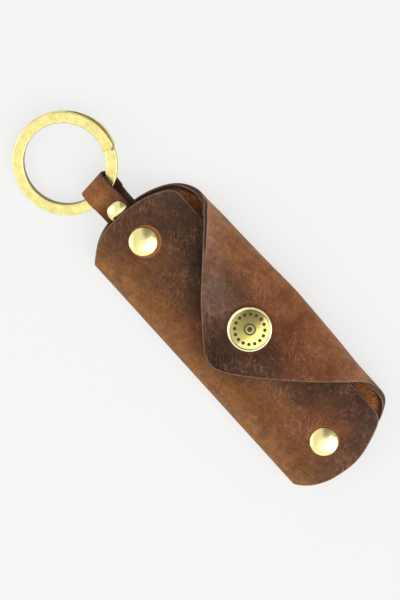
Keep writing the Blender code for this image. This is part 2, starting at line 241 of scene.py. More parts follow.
CURL_STAINS = [
    (-38, 110, (150, 110, 80)), (-30, 110, (146, 103, 68)), (-20, 110, (142, 98, 62)),
    (-8, 110, (140, 96, 60)),
    (4, 110, (138, 92, 56)), (16, 110, (138, 92, 60)), (27, 110, (142, 98, 68)), (38, 110, (146, 106, 82)),
    (-36, 155, (146, 102, 76)), (-24, 155, (134, 90, 56)), (-10, 155, (132, 84, 53)), (2, 155, (124, 77, 48)),
    (12, 155, (118, 72, 47)), (22, 155, (128, 81, 54)), (34, 155, (128, 84, 60)),
    (-30, 55, HONEY), (0, 55, TAN), (30, 55, HONEY),
]
BACK_STAINS = [
    (-48, 0, COCOA), (-30, 6, CHESTNUT), (-12, -3, HONEY), (6, 5, CHESTNUT), (24, -4, HONEY),
    (48, 2, CHESTNUT),
    (-20, 12, TAN), (16, 13, TAN), (-36, -9, TAN), (0, -10, TAN), (36, -9, HONEY), (38, 12, COCOA),
]
# the closed fold: paler round its turn, partly pull-up and partly painted sheen
FOLD_STAINS_AND_SHEEN = [(x, turn, shade) for turn, shade in ((150, (134, 89, 55)), (100, PALE), (45, TAN))
               for x in range(-50, 51, 5)]


# (stains with painted shade and sheen, the flat distance of a place, the group's brightness)
STAIN_AND_PAINTED_LIGHT_GROUPS = [
    (FRONT_STAINS_AND_SHADE, front_flat, 0.755),
    (FLAP_STAINS_SHADE_AND_SHEEN, flap_flat, 0.73),
    (CURL_STAINS, curl_flat, 1.27),
    (BACK_STAINS, lambda y: y, 0.9),
    (FOLD_STAINS_AND_SHEEN, fold_flat, 0.84),
]


def stain_and_painted_light_zones():
    """All the listed colours, stains with painted shade and sheen among them, as (x, flat distance, linear
    colour) rows.
    """
    return [(x, flat(place), *(linear(*shade) * depth))
            for stains, flat, depth in STAIN_AND_PAINTED_LIGHT_GROUPS for x, place, shade in stains]


def stain_and_painted_light(x, s, spread=2.9):
    """The soft mixture of the nearest listed colours at flat places: stains, with painted shade and sheen
    among them.
    """
    total = np.zeros((*x.shape, 3))
    weight = np.full(x.shape, 1e-9)
    for zx, zs, *colour in stain_and_painted_light_zones():
        w = np.exp(-((x - zx) ** 2 + (s - zs) ** 2) / (2 * spread**2)) + 1e-7
        total += w[..., None] * np.array(colour)
        weight += w
    return total / weight[..., None]


# ---------------------------------------------------------------- meshes

def make_mesh(name, verts, faces, attributes, material, smooth_faces=True):
    """A mesh object from millimetre points, with point attributes, at rest in the frame."""
    mesh = bpy.data.meshes.new(name)
    mesh.from_pydata((np.asarray(verts) * MM).tolist(), [], faces)
    for key, values in attributes.items():
        values = np.asarray(values, np.float32)
        if values.ndim == 1:
            attribute = mesh.attributes.new(key, "FLOAT", "POINT")
            attribute.data.foreach_set("value", values)
        else:
            attribute = mesh.attributes.new(key, "FLOAT_VECTOR", "POINT")
            attribute.data.foreach_set("vector", values.ravel())
    mesh.polygons.foreach_set("use_smooth", [smooth_faces] * len(mesh.polygons))
    mesh.materials.append(material)
    obj = bpy.data.objects.new(name, mesh)
    bpy.context.scene.collection.objects.link(obj)
    return obj


def attach(obj, body, slot, *nodes):
    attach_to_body(obj, body)
    if nodes:
        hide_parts(*nodes)
    return obj


def skin(name, middle, normal, half, values, material):
    """A closed sheet round a grid of middle points; it closes where the half thickness is 0."""
    rows, columns = half.shape
    top = middle + normal * half[..., None]
    bottom = middle - normal * half[..., None]
    index = np.arange(rows * columns).reshape(rows, columns)
    under = index + rows * columns
    shut = half <= 0.0
    under[shut] = index[shut]
    quads = []
    for grid, flip in ((index, False), (under, True)):
        q = np.stack([grid[:-1, :-1], grid[1:, :-1], grid[1:, 1:], grid[:-1, 1:]], -1).reshape(-1, 4)
        quads.append(q[:, ::-1] if flip else q)
    quads = np.concatenate(quads)
    used, compact = np.unique(quads, return_inverse=True)
    quads = compact.reshape(quads.shape)
    points = np.concatenate([top.reshape(-1, 3), bottom.reshape(-1, 3)])[used]
    flesh = np.concatenate([np.zeros(rows * columns), np.ones(rows * columns)])
    attributes = {"flesh": flesh[used]}
    for key, grid in values.items():
        flat = grid.reshape(rows * columns, -1)
        both = np.concatenate([flat, flat])[used]
        attributes[key] = both[:, 0] if both.shape[1] == 1 else both
    return make_mesh(name, points, quads.tolist(), attributes, material)


# ---------------------------------------------------------------- leather sheet

END_ARC, END_ARC_X = 36.0, 20.2              # radius of the case's round ends, and where they centre

# How each end of the leather strays from its even outline: the front panel's slow bulge as (height, y,
# spread), how far the curl flares by flat distance, and the flap's uneven side by distance from its tip
RING_END = {
    "bulge": (-0.35, -0.5, 6.0),
    "flare": ([4, 12, 18, 22, 26, 34], [0, 0.6, 0.9, 0.8, 0.4, 0]),
    "uneven": ([0, 3, 7, 12, 33], [0, 0.1, 0.6, 1.3, 1.5]),
}
FAR_END = {
    "bulge": (0.5, 4.0, 6.5),
    "flare": ([8, 14, 18, 22, 26, 31, 36], [0, 0.2, 1.1, 1.7, 2.3, 2.6, 1.5]),
    "uneven": ([0, 3, 14, 21, 29, 33], [0, 0.4, 0.8, 0.5, -0.6, -1.2]),
}


def half_length(s, end):
    """Half the leather's length towards one end, at flat distances."""
    y = np.where(s < FRONT_END, FOLD_Y - (s - FRONT_END), np.where(s < FOLD_Y, 0.0, s))
    in_fold = (s >= FRONT_END) & (s < FOLD_Y)
    y = np.where(in_fold, FOLD_Y - (FOLD_MID + LEATHER / 2) * np.sin((FOLD_Y - s) / FOLD_MID), y)
    body = END_ARC_X + np.sqrt(np.maximum(END_ARC**2 - y**2, 0.0))
    body = body - 2.6 * (np.maximum(-y - 5.0, 0.0) / 12.4) ** 2
    height, place, spread = end["bulge"]
    body = body + height * smooth(s, FRONT_END + 3.0, FRONT_END - 3.0) * np.exp(-((y - place) / spread) ** 2)
    near_edge = np.clip((FRONT_START + FRONT_CORNER - s) / FRONT_CORNER, 0.0, 1.0)
    body = body - FRONT_CORNER * (1 - np.sqrt(1 - near_edge**2)) + np.interp(s, *end["flare"])
    to_tip = np.maximum(FLAP_END - s, 0.0)
    flap = np.sqrt(11.0 * to_tip + to_tip**2) + np.interp(to_tip, *end["uneven"])
    weight = smooth(s, 24.0, 35.0)
    return (1 - weight) * body + weight * flap


def middle_path(s):
    """Place across, height and outward normal (y, z) of the leather's middle at flat distances."""
    fold = np.clip((FOLD_Y - s) / FOLD_MID, 0.0, math.pi)
    curl = np.clip((s - CURL_Y) / CURL_MID, 0.0, math.pi)
    y = np.clip(s, FOLD_Y, CURL_Y) - FOLD_MID * np.sin(fold) + CURL_MID * np.sin(curl)
    y = y + np.maximum(FRONT_END - s, 0.0) - np.maximum(s - CURL_END, 0.0)
    z = LEATHER / 2 + FOLD_MID * (1 - np.cos(fold)) + CURL_MID * (1 - np.cos(curl))
    ny = np.where(fold > 0, -np.sin(fold), np.sin(curl))
    nz = np.where(fold > 0, -np.cos(fold), -np.cos(curl))
    return y, z, ny, nz


EDGE_STEPS = np.array([0.0, 0.012, 0.05, 0.12, 0.22, 0.36, 0.55, 0.85])    # rows that round a cut edge
TIP_STEPS = np.array([2.6, 2.2, 1.85, 1.5, 1.2, 0.95, 0.75, 0.58, 0.42, 0.3, 0.2, 0.12, 0.06, 0.02, 0.002])
BACK_SPLIT = 10.0                            # where the moving curl's leather begins, on the back panel


def even_rows(start, end, step):
    return list(np.linspace(start, end, max(2, round((end - start) / step) + 1)))


def row_distances():
    """The rows of the whole leather sheet, close together at its edges and bends."""
    rows = [*(FRONT_START + EDGE_STEPS), *even_rows(FRONT_START + 1.3, FRONT_END, 0.55)]
    stretches = [(FRONT_END, FOLD_Y, 0.42), (FOLD_Y, BACK_SPLIT, 0.6), (BACK_SPLIT, CURL_Y, 0.6)]
    stretches += [(curl_flat(30 * k), curl_flat(30 * k + 30), 0.22) for k in range(6)]
    stretches += [(CURL_END, FLAP_END - 3.0, 0.5)]
    for start, end, step in stretches:
        rows += even_rows(start, end, step)[1:]
    return np.array([*rows, *(FLAP_END - TIP_STEPS)])


def ripple(x, y, seed):
    """Slow, uneven waves between about -1 and 1."""
    a = np.sin(0.11 * x + 0.07 * y + seed) * np.cos(0.05 * x - 0.17 * y + 2.1 * seed)
    b = np.sin(0.23 * x - 0.13 * y + 1.7 * seed) * np.sin(0.29 * y + 0.09 * x + seed)
    return 0.65 * a + 0.35 * b


def rounded(distance, reach, power):
    """The share of its full thickness that leather has at a distance from its cut edge."""
    return (1 - (1 - np.clip(distance / reach, 0, 1)) ** power) ** (1 / power)


def press(x, y, centre, inner, outer):
    """1 within a round fitting's rim, falling to 0 outside it."""
    return 1 - smooth(np.hypot(x - centre[0], y - centre[1]), inner, outer)


def curl_swell(x):
    """How much further out the curl stands than its even radius, along its length."""
    places = np.linspace(-56, 56, 225)
    swell = np.interp(places, [-48, -40, -33, -28, -13, 1, 17, 25, 33, 40, 48],
                      [-0.9, -1.0, -0.5, -0.5, -0.05, 0.65, 0.2, -0.1, -0.6, -0.5, -0.6])
    soft = np.convolve(np.pad(swell, 12, "edge"), np.hanning(25) / np.hanning(25).sum(), "valid")
    return np.interp(x, places, soft)


def sheet_grid(s):
    """Places (x, flat distance) over the leather: rows at flat distances, closer at their ends."""
    left, right = half_length(s, RING_END), half_length(s, FAR_END)
    slope = np.sqrt(1 + np.gradient(right, s) ** 2)
    band = EDGE_STEPS[None, :] * np.clip(slope, 1.0, 6.0)[:, None]
    limit = 0.42 * np.minimum(left, right)
    band *= np.minimum(1.0, limit / band[:, -1])[:, None]
    inside = np.linspace(0.0, 1.0, 190)[None, 1:-1]
    low, high = band[:, -1:] - left[:, None], right[:, None] - band[:, -1:]
    x = np.concatenate([band - left[:, None], low + (high - low) * inside, right[:, None] - band[:, ::-1]], 1)
    return x, np.repeat(s[:, None], x.shape[1], 1)


def edge_distance(x, flat):
    """How far each place is from the leather's cut edge."""
    fine = np.concatenate([np.linspace(FRONT_START, FLAP_END - 3, 4200),
                           FLAP_END - 3 * np.linspace(1, 0, 400) ** 2])
    outline = [(-half_length(fine, RING_END), fine), (half_length(fine, FAR_END), fine)]
    across = np.linspace(x[0, 0], x[0, -1], 1400)
    outline.append((across, np.full(across.shape, FRONT_START)))
    points = np.concatenate([np.stack(o, 1) for o in outline])
    tree = kdtree.KDTree(len(points))
    for i, (px, ps) in enumerate(points):
        tree.insert((px, ps, 0.0), i)
    tree.balance()
    distance = np.array([tree.find((a, b, 0.0))[2] for a, b in zip(x.ravel(), flat.ravel())])
    distance = distance.reshape(x.shape)
    distance[:, 0] = distance[:, -1] = distance[0] = distance[-1] = 0.0
    return distance


def build_sheet():
    """The grid of the whole leather sheet: middle points, normals, half thickness and flat places."""
    s = row_distances()
    x, flat = sheet_grid(s)
    distance = edge_distance(x, flat)
    y, z, ny, nz = (np.repeat(v[:, None], x.shape[1], 1) for v in middle_path(s))
    on_front = smooth(flat, FRONT_END + 2.0, FRONT_END - 4.0)
    on_flap = smooth(flat, CURL_END - 1.0, CURL_END + 5.0)
    on_back = smooth(flat, FOLD_Y - 2, FOLD_Y + 3) * (1 - smooth(flat, CURL_Y - 3, CURL_Y + 2))

    # the curl swells, the panels ripple, and the flap droops away from the snap
    round_curl = np.clip((flat - CURL_Y) / CURL_TURN, -0.35, 1.35)
    swell = np.exp(-((round_curl - 0.5) / 0.42) ** 4)
    y = y + swell * curl_swell(x)
    z = z + on_front * 0.14 * ripple(x, y, 0.8) + on_flap * 0.12 * ripple(x, y, 2.3)
    droop = smooth(np.hypot(x - SNAP[0], (y - SNAP[1]) * 0.9), 8.5, 21.0) * smooth(y, 16.0, 2.0)
    z = z - on_flap * 1.15 * droop

    # the cut edges are round, and the leather is pressed thinner under each head
    half = LEATHER / 2 * rounded(distance, 0.5, 2.4)
    pressed = 0.2 * on_flap * press(x, y, SNAP, 7.7, 9.6)
    for post in (-POST_X, POST_X):
        pressed = pressed + 0.26 * on_front * press(x, y, (post, 0.0), 5.0, 6.4)
        pressed = pressed + 0.98 * on_back * press(x, y, (post, 0.0), 4.95, 5.9)
    half = half - np.minimum(pressed / 2, half * 0.8)
    z = z - nz * pressed / 2
    normal = np.stack([np.zeros(x.shape), ny, nz], -1)
    middle = np.stack([x, y, z], -1)
    # the point colours: stains, with painted shade and sheen in places
    values = {"flat": np.stack([x, flat, np.zeros(x.shape)], -1), "edge": np.minimum(distance, 9.0),
              "stain_and_painted_light": stain_and_painted_light(x, flat)}
    return s, middle, normal, half, values


def make_leather(material):
    """The wrap, the curl and the flap: one sheet, parted at the curl's hinges."""
    s, middle, normal, half, values = build_sheet()

    def piece(name, start, end):
        rows = np.where((s > start - 1e-6) & (s < end + 1e-6))[0]
        part = slice(rows[0], rows[-1] + 1)
        parts = {key: grid[part] for key, grid in values.items()}
        obj = skin(name, middle[part], normal[part], half[part], parts, material)
        return obj

    wrap = piece("leather_wrap_skin", FRONT_START, BACK_SPLIT)
    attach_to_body(wrap, "root")
    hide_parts("leather_wrap")
    names = ["leather_curl_base", *(f"leather_curl_{k}" for k in range(1, 5)), "leather_flap"]
    nodes = [*(f"flap_fold_strip_{k}" for k in range(1, 6)), "closing_flap"]
    for k, (name, node) in enumerate(zip(names, nodes)):
        start, end = 30 * k, 30 * k + 30
        first = BACK_SPLIT if k == 0 else curl_flat(start)
        last = FLAP_END if k == 5 else curl_flat(end)
        bent = piece(name, first, last)
        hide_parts(node)
        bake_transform(bent)


# ---------------------------------------------------------------- leather material

def warped(n, flat, wobble, offset, reach):
    """The flat places, pushed about by a noise of the given settings, up to about the reach."""
    push = n.add("TexNoise", {"Vector": flat, **wobble}, output=1)
    push = n.add("VectorMath", {0: push, 1: offset}, operation="SUBTRACT")
    push = n.add("VectorMath", {0: push, "Scale": reach}, operation="SCALE")
    return n.add("VectorMath", {0: flat, 1: push}, operation="ADD")


def creases(n, flat, turn):
    """Thin, uneven lines that run mostly one way, some 20 mm long."""
    moved = warped(n, flat, {"Scale": 0.22, "Detail": 2.0}, (0.5, 0.5, 0.0), 1.6)
    field = n.noise(n.stretch(moved, turn, (0.05, 0.42, 1.0)), 1.0, 2.5, 0.55)
    return n.ramp(n.math("ABSOLUTE", n.math("SUBTRACT", field, 0.5)), 0.0, 0.022, 1.0, 0.0)


def web(n, flat, turn, cell, width, shift):
    """A net of thin, wandering lines round cells about one cell size across."""
    wobble = {"Scale": 0.9 / cell, "Detail": 3.0, "Roughness": 0.6}
    moved = warped(n, flat, wobble, (0.5 + shift, 0.5 - shift, 0.5), 1.1 * cell)
    vector = n.stretch(moved, turn, (0.36 / cell, 1.0 / cell, 0.0))
    field = n.add("TexVoronoi", {"Vector": vector, "Scale": 1.0}, feature="DISTANCE_TO_EDGE",
                  voronoi_dimensions="2D")
    return n.ramp(field, 0.0, width / cell, 1.0, 0.0)


def near(n, flat, centre, full, none, share):
    """The share at places within the full radius of a centre, falling to 0 at the outer one."""
    gap = n.add("VectorMath", {0: flat, 1: (*centre, 0.0)}, output=1, operation="DISTANCE")
    return n.ramp(gap, full, none, share, 0.0)


def case_edges_and_painted_light(n, flat, edge, mottle, colour):
    """The case's colour with halos round the heads, painted shade round the snap's cap, a painted highlight
    and shade on the flap's lifted edge, and pale rims, partly rubbed and partly painted highlight.
    """
    # halos round the heads: pressed leather paler, partly painted light on the lit side of each dimple's
    # wall, so they sit off centre
    for x, y, radius, tint, share in ((-POST_X + 0.41, 0.46, 5.5, (154, 100, 52), 0.85),
                                      (POST_X - 0.05, 0.35, 5.2, (150, 96, 50), 0.55)):
        halo = near(n, flat, (x, front_flat(y)), radius - 0.28, radius + 0.12, share)
        colour = n.mix(halo, colour, rgba(*tint))
    # painted shade: a darker ring on the flap just outside the snap's cap
    colour = n.mix(near(n, flat, (SNAP[0], flap_flat(SNAP[1])), 7.6, 8.7, 0.6), colour, rgba(92, 52, 30))

    # the flap's edge beside the key ring end, where it lifts off the front panel: a painted highlight line
    # along its rounded rim, and a dark band, painted shade over the burnished wall's colour
    x, s = n.add("SeparateXYZ", {0: flat}), n.add("SeparateXYZ", {0: flat}, output=1)
    lifted = n.math("MULTIPLY", n.ramp(x, -14.0, -22.0), n.ramp(s, CURL_Y + 9.0, CURL_Y + 13.0))
    lifted = n.math("MULTIPLY", lifted, n.ramp(s, CURL_END + 9.0, CURL_END + 4.0))
    colour = n.mix(n.math("MULTIPLY", lifted, n.ramp(edge, 1.55, 1.3)), colour, rgba(150, 116, 96))
    colour = n.mix(n.math("MULTIPLY", lifted, n.ramp(edge, 1.3, 1.05)), colour, rgba(62, 45, 38))

    # the curl's open end, at the far end
    open_end = n.math("MULTIPLY", n.ramp(x, 36.0, 41.0), n.ramp(s, CURL_Y + 5.0, CURL_Y + 10.0))
    open_end = n.math("MULTIPLY", open_end, n.ramp(s, CURL_END + 2.0, CURL_END - 1.0))
    colour = n.mix(n.math("MULTIPLY", open_end, n.ramp(edge, 1.5, 1.0)), colour, rgba(96, 76, 64))
    # pale rims: partly rubbed wear, partly a painted highlight along the rounded edges
    rim = n.math("MULTIPLY", n.ramp(edge, 0.48, 0.24), n.ramp(mottle, 0.25, 0.75, 0.45, 0.95))
    return n.mix(n.math("MULTIPLY", rim, 0.85), colour, rgba(152, 120, 98))


def leather_material(name, strap=False):
    """Waxed pull-up leather: stains with painted shade and sheen, mottle, pale lines where it has bent,
    painted highlights and shade at the case's rims and fittings, burnished edges, suede inside.
    """
    n = new_material(name)
    flat = n.attribute("flat", "Vector")
    edge = n.attribute("edge")
    flesh = n.attribute("flesh")
    # the point colours: the leather's stains, with painted shade and sheen in places
    colour = n.attribute("stain_and_painted_light", "Color")

    # cloudy and mottled variation
    turn = math.radians(-41.8)
    cloud = n.noise(flat, 0.16, 4.0, 0.6, 0.6)
    mottle = n.noise(flat, 0.42, 5.0, 0.66, 0.5)
    grain = n.noise(n.stretch(flat, turn, (0.9, 1.5, 1.0)), 1.0, 3.0, 0.65, 0.6)
    level = n.math("MULTIPLY", n.ramp(cloud, 0.3, 0.7, 0.86, 1.14), n.ramp(mottle, 0.3, 0.7, 0.80, 1.12))
    level = n.math("MULTIPLY", level, n.ramp(grain, 0.3, 0.7, 0.85, 1.11))
    streak = n.noise(n.stretch(flat, 0.23, (0.14, 1.5, 1.0)), 1.0, 3.0, 0.62, 0.4)
    level = n.math("MULTIPLY", level, n.ramp(streak, 0.3, 0.7, 0.87, 1.11))
    colour = n.mix(1.0, colour, n.grey(level), "MULTIPLY")

    # pull-up: thin pale lines where the leather has been bent
    patchy = n.ramp(n.noise(flat, 0.10, 2.0, 0.5), 0.42, 0.60, 0.1, 1.0)
    patchy_fine = n.ramp(n.noise(flat, 0.19, 2.0, 0.5), 0.42, 0.62, 0.08, 1.0)
    broken = n.ramp(n.noise(flat, 0.7, 2.0, 0.6), 0.38, 0.62, 0.15, 1.0)
    lines = n.math("MULTIPLY", creases(n, flat, turn), patchy)
    for net, share in ((web(n, flat, turn + 0.1, 0.9, 0.10, 0.1), patchy_fine),
                       (web(n, flat, turn - 0.3, 1.9, 0.12, 0.31), patchy)):
        part = n.math("MULTIPLY", n.math("MULTIPLY", net, share), broken)
        lines = n.math("MAXIMUM", lines, part)
    if not strap:
        s = n.add("SeparateXYZ", {0: flat}, output=1)
        worked = n.math("MAXIMUM", n.ramp(s, FRONT_END - 3.0, FRONT_END - 10.0, 0.35, 1.0),
                        n.ramp(s, CURL_END - 5.0, CURL_END + 4.0, 0.2, 1.0))
        lines = n.math("MULTIPLY", lines, worked)
    pulled = n.mix(0.25, n.mix(1.0, colour, (1.95, 1.85, 1.75, 1.0), "MULTIPLY"), rgba(172, 120, 84))
    colour = n.mix(n.math("MULTIPLY", lines, 0.3 if strap else 0.85), colour, pulled)

    # rims pale, partly rubbed and partly painted highlight, painted light and shade round the fittings, and
    # cut edges burnished dark
    if not strap:
        colour = case_edges_and_painted_light(n, flat, edge, mottle, colour)
    wall = n.noise(flat, 1.9, 3.0, 0.6)
    burnish = n.mix(wall, rgba(58, 44, 36), rgba(92, 73, 60))
    reach = 0.34 if strap else 0.16
    colour = n.mix(n.ramp(edge, reach, reach * 0.5), colour, burnish)

    # flesh side: fibrous suede
    fibre = n.noise(n.stretch(flat, 0.5, (2.2, 0.7, 1.0)), 1.0, 4.0, 0.7, 1.2)
    suede = n.mix(n.ramp(fibre, 0.36, 0.64), rgba(84, 48, 28), rgba(192, 126, 74))
    if strap:
        suede = n.mix(fibre, rgba(50, 38, 32), rgba(86, 64, 52))
    # painted shade: the suede darker towards the cut edges, standing for the shade in the gaps between the
    # layers
    suede = n.mix(n.ramp(edge, 3.4, 1.2), suede, rgba(68, 46, 34))
    inner = n.math("MULTIPLY", flesh, n.ramp(edge, 0.2, 0.5))
    colour = n.mix(inner, colour, suede)

    smudge = n.ramp(cloud, 0.3, 0.7, 0.44, 0.60)
    rough = n.math("ADD", smudge, n.math("MULTIPLY", inner, 0.35), clamp=True)
    height = n.math("ADD", n.math("MULTIPLY", n.noise(flat, 3.4, 3.0, 0.6), 0.35),
                    n.math("MULTIPLY", lines, -0.5))
    height = n.math("ADD", height, n.math("MULTIPLY", mottle, 0.5))
    n.set(Base_Color=colour, Roughness=rough, Specular_IOR_Level=0.06, Normal=n.bump(height, 0.00009, 0.8))
    return n.owner


# ---------------------------------------------------------------- brass materials

def brass_material(name, colour, roughness, dull, bump=0.4):
    """Turned or rolled brass with faint marks along the turning, smudges, and painted shade where a piece
    carries it as a point attribute.
    """
    n = new_material(name)
    turned = n.attribute("turn", "Vector")
    marks = n.noise(n.add("Mapping", {"Vector": turned, "Scale": (0.35, 9.0, 9.0)}), 1.0, 3.0, 0.6)
    smudge = n.noise(turned, 0.45, 3.0, 0.6, 0.5)
    speck = n.ramp(n.noise(turned, 2.4, 3.0, 0.7), 0.60, 0.72)
    base = n.mix(n.ramp(smudge, 0.35, 0.7), rgba(*colour), rgba(*dull))
    base = n.mix(n.math("MULTIPLY", speck, 0.12), base, rgba(150, 124, 70))
    # painted shade, from the point attribute the key ring carries along its edges and the step between its
    # turns
    base = n.mix(n.attribute("painted_gap_shade"), base, rgba(92, 66, 40))
    rough = n.math("MULTIPLY", n.ramp(smudge, 0.3, 0.7, 0.8, 1.3), roughness)
    height = n.math("ADD", marks, n.math("MULTIPLY", smudge, 0.6))
    n.set(Base_Color=base, Metallic=1.0, Roughness=rough, Normal=n.bump(height, 0.00001, bump))
    return n.owner


def enamel_material():
    """Dark enamel, for the pattern on the cap."""
    n = new_material("enamel")
    turned = n.attribute("turn", "Vector")
    tone = n.noise(turned, 1.4, 3.0, 0.6)
    n.set(Base_Color=n.mix(tone, rgba(20, 18, 14), rgba(46, 40, 28)),
          Roughness=n.ramp(tone, 0.3, 0.7, 0.3, 0.5), Normal=n.bump(tone, 0.00001, 0.5))
    return n.owner


def steel_material():
    """Drawn spring wire."""
    n = new_material("spring_wire")
    turned = n.attribute("turn", "Vector")
    tone = n.noise(turned, 1.7, 3.0, 0.6)
    n.set(Base_Color=n.mix(tone, rgba(190, 190, 184), rgba(150, 148, 140)), Metallic=1.0,
          Roughness=n.ramp(tone, 0.3, 0.7, 0.22, 0.4), Normal=n.bump(tone, 0.00001, 0.4))
    return n.owner


# ---------------------------------------------------------------- turned pieces

def soften(profile, closed, rounds=2):
    """The profile with its corners cut, and its ends kept."""
    points = [Vector(p) for p in profile]
    for _ in range(rounds):
        pairs = list(zip(points, points[1:] + points[:1])) if closed else list(zip(points, points[1:]))
        cut = [q for a, b in pairs for q in (a.lerp(b, 0.22), a.lerp(b, 0.78))]
        points = cut if closed else [points[0], *cut[1:-1], points[-1]]
    return points


def lathe(name, profile, place, material, closed=False, steps=80, rounds=2):
    """A turned piece from (radius, height) points in millimetres."""
    points = soften(profile, closed, rounds)
    verts, turn, faces = [], [], []
    for i in range(steps):
        a = 2 * math.pi * i / steps
        for r, h in points:
            verts.append(place @ Vector((r * math.cos(a), r * math.sin(a), h)))
            turn.append((a * max(r, 0.8), r, h))
    count = len(points)
    links = count if closed else count - 1
    for i in range(steps):
        j = (i + 1) % steps
        for k in range(links):
            m = (k + 1) % count
            faces.append((i * count + k, i * count + m, j * count + m, j * count + k))
    obj = make_mesh(name, [tuple(v) for v in verts], faces, {"turn": turn}, material)
    weld = obj.modifiers.new("Join", "WELD")
    weld.merge_threshold = 0.000002
    return settle(obj)


def settle(obj):
    """The object with its modifiers applied."""
    graph = bpy.context.evaluated_depsgraph_get()
    graph.update()
    mesh = bpy.data.meshes.new_from_object(obj.evaluated_get(graph))
    obj.modifiers.clear()
    obj.data = mesh
    mesh.set_sharp_from_angle(angle=math.radians(50))
    return obj


def at(x, y=0.0, z=0.0):
    """A place over the case, in millimetres."""
    return Matrix.Translation((x, y, z))


def rolled(x, y=0.0):
    """A place on the strap's middle plane, which is rolled about X."""
    return at(0.0, 0.0, STRAP_Z) @ Matrix.Rotation(STRAP_ROLL, 4, "X") @ at(x, y)


def dome(radius, rim, top, count=12):
    """Points over a shallow dome from its middle to near its rim."""
    points = []
    for i in range(count):
        t = i / count
        points.append((radius * t, rim + (top - rim) * (1 - t**2.6)))
    return points


def make_fittings():
    """The barrel screws with their washers and spacers, the strap's rivet, and the snap."""
    bright = brass_material("polished_brass_finish", (250, 238, 172), 0.17, (242, 226, 156), 0.06)
    plain = brass_material("plain_brass_finish", (222, 196, 128), 0.34, (196, 168, 104))
    foot = 1.0                               # the barrels' lower ends
    for prefix, x in (("ring_end", -POST_X), ("far_end", POST_X)):
        head = dome(4.55, 10.2, 10.88) + [(4.62, 10.12), (4.75, 9.92), (4.75, 9.72), (4.62, 9.5), (4.3, 9.45)]
        head += [(2.5, 9.45), (2.5, foot), (1.8, foot), (1.8, 8.2), (0, 8.2)]
        attach(lathe(f"{prefix}_post_skin", head, at(x), bright), "root", "polished_brass", f"{prefix}_post")
        screw = [(0, 7.0), (1.3, 7.0), (1.6, 6.7), (1.6, 0.9), (4.6, 0.9), (4.72, 0.82), (4.75, 0.4),
                 (4.5, 0.12), (3.6, 0.03), (0, 0.0)]
        body = lathe(f"{prefix}_screw_skin", screw, at(x), bright)
        cut_slot(body, x)
        attach(body, "root", "polished_brass", f"{prefix}_screw")
    washers = [("ring_end_washer_lower", -POST_X, 1.86, 3.66), ("ring_end_washer_upper", -POST_X, 6.72, 7.74)]
    pitch = (7.7 - 1.9 + 0.1) / 4
    washers += [(f"far_end_spacer_{i + 1}", POST_X, 1.9 + i * pitch, 1.8 + (i + 1) * pitch) for i in range(4)]
    for name, x, low, high in washers:
        profile = [(2.6, high), (4.8, high), (5.0, high - 0.15), (5.0, low + 0.15), (4.8, low), (2.6, low)]
        attach(lathe(f"{name}_skin", profile, at(x), plain, True), "root", "plain_brass", name)
    rivet = rolled(RIVET_X, 0.4)
    cap = dome(3.35, 1.45, 2.25)
    cap += [(3.5, 1.4), (3.6, 1.2), (3.55, 0.95), (3.3, 0.85), (1.0, 0.85), (1.0, 1.6), (0, 1.6)]
    attach(lathe("loop_rivet_cap_skin", cap, rivet, bright), "strap", "polished_brass", "loop_rivet_cap")
    post = [(0, 1.5), (0.9, 1.5), (0.9, -1.4), (3.0, -1.4), (3.25, -1.55), (3.1, -1.85), (2.6, -1.95),
            (0, -1.97)]
    attach(lathe("loop_rivet_post_skin", post, rivet, plain), "strap", "polished_brass", "loop_rivet_post")
    make_snap(plain)


def cut_slot(body, x):
    """Cuts a screwdriver slot across the lower end of the screw."""
    mesh = bpy.data.meshes.new("slot_cutter")
    corners = [(sx * 0.55, sy * 6.0, sz * 0.42) for sx in (-1, 1) for sy in (-1, 1) for sz in (-1, 1)]
    faces = [(0, 1, 3, 2), (4, 6, 7, 5), (0, 4, 5, 1), (2, 3, 7, 6), (0, 2, 6, 4), (1, 5, 7, 3)]
    turn = Matrix.Rotation(math.radians(24 if x < 0 else -35), 4, "Z")
    verts = [tuple((at(x) @ turn @ Vector(c)) * MM) for c in corners]
    mesh.from_pydata(verts, [], faces)
    cutter = bpy.data.objects.new("slot_cutter", mesh)
    bpy.context.scene.collection.objects.link(cutter)
    boolean = body.modifiers.new("Slot", "BOOLEAN")
    boolean.operation = "DIFFERENCE"
    boolean.solver = "EXACT"
    boolean.object = cutter
    settle(body)
    bpy.data.objects.remove(cutter)


